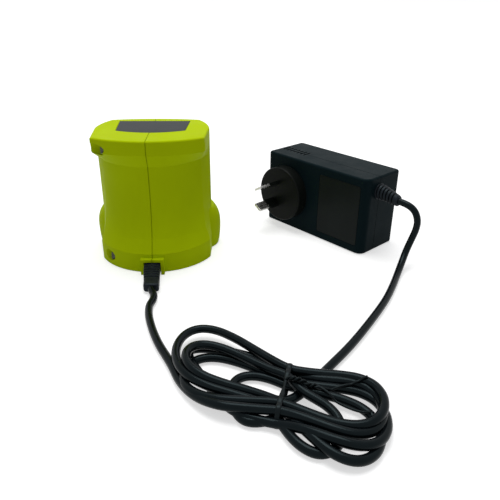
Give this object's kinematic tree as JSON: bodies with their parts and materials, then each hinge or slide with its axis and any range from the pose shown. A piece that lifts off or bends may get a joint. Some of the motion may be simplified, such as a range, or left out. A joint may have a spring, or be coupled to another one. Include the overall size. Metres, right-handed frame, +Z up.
{
  "type": "power tool battery charger",
  "caption": "Charging cradle that drops over the stem of a battery pack, joined by a tied low-voltage cord to a boxy plug-in adaptor with flat slanted pins.",
  "frame": {"origin": "on the table, on the axis of the cradle's stem pocket", "axes": "+Z up, -Y out of the cradle's bowed front, +X towards the adaptor"},
  "size_m": [0.2022, 0.2596, 0.079],
  "materials": {
    "lime_plastic": "satin moulded, fine spark texture",
    "screw_steel": "zinc plated",
    "liner_black": "matt moulded",
    "contact_brass": "rolled strip, lightly tarnished",
    "board_green": "solder mask",
    "component_black": "matt epoxy",
    "can_sleeve": "glossy sleeve",
    "wire_insulation": "smooth insulation",
    "label_grey": "bare printed film, satin",
    "relief_black": "soft matt moulding",
    "adaptor_black": "satin moulded",
    "patch_black": "bare laser-marked area, satin",
    "plug_black": "satin moulded",
    "pin_nickel": "nickel plated, light scratches",
    "fuse_ceramic": "glazed",
    "sink_aluminium": "mill finish",
    "ferrite": "matt sintered",
    "winding_tape": "polyester tape",
    "cord_black": "smooth extruded sheath, satin",
    "tie_black": "coated wire"
  },
  "bodies": {
    "root": {"cradle_left_shell": "lime_plastic", "cradle_right_shell": "lime_plastic", "cradle_screws": "screw_steel", "pocket_liner": "liner_black", "terminal_block": "liner_black", "contact_lugs": "contact_brass", "charge_board": "board_green", "board_capacitor": "can_sleeve", "control_chip": "component_black", "power_transistor": "component_black", "board_diodes": "component_black", "contact_leads": "wire_insulation", "supply_leads": "wire_insulation", "cradle_label": "label_grey", "cradle_strain_relief": "relief_black", "adaptor_front_shell": "adaptor_black", "adaptor_back_shell": "adaptor_black", "rating_patch": "patch_black", "plug_insert": "plug_black", "adaptor_board": "board_green", "mains_fuse": "fuse_ceramic", "bridge_rectifier": "component_black", "bulk_capacitor": "can_sleeve", "switch_transistor": "component_black", "heat_sink": "sink_aluminium", "transformer_core": "ferrite", "transformer_winding": "winding_tape", "output_choke": "winding_tape", "output_capacitors": "can_sleeve", "mains_leads": "wire_insulation", "output_leads": "wire_insulation", "adaptor_strain_relief": "relief_black", "plug_pin_active": "pin_nickel", "plug_pin_neutral": "pin_nickel", "pin_sleeve_active": "plug_black", "pin_sleeve_neutral": "plug_black", "cord_cradle_lead": "cord_black", "cord_adaptor_lead": "cord_black", "cord_hank": "cord_black", "cord_tie": "tie_black"},
    "contact_negative": {"contact_negative": "contact_brass"},
    "contact_sense": {"contact_sense": "contact_brass"},
    "contact_positive": {"contact_positive": "contact_brass"}
  },
  "joints": [
    {"name": "contact_negative_flex", "type": "hinge", "parent": "root", "child": "contact_negative", "pos_m": [-0.012, 0.008, 0.0611], "axis": [-1, 0, 0], "range_deg": [0, 9], "stiffness_Nm_per_rad": 0.05},
    {"name": "contact_sense_flex", "type": "hinge", "parent": "root", "child": "contact_sense", "pos_m": [0, 0.008, 0.0611], "axis": [-1, 0, 0], "range_deg": [0, 9], "stiffness_Nm_per_rad": 0.05},
    {"name": "contact_positive_flex", "type": "hinge", "parent": "root", "child": "contact_positive", "pos_m": [0.012, 0.008, 0.0611], "axis": [-1, 0, 0], "range_deg": [0, 9], "stiffness_Nm_per_rad": 0.05}
  ]
}
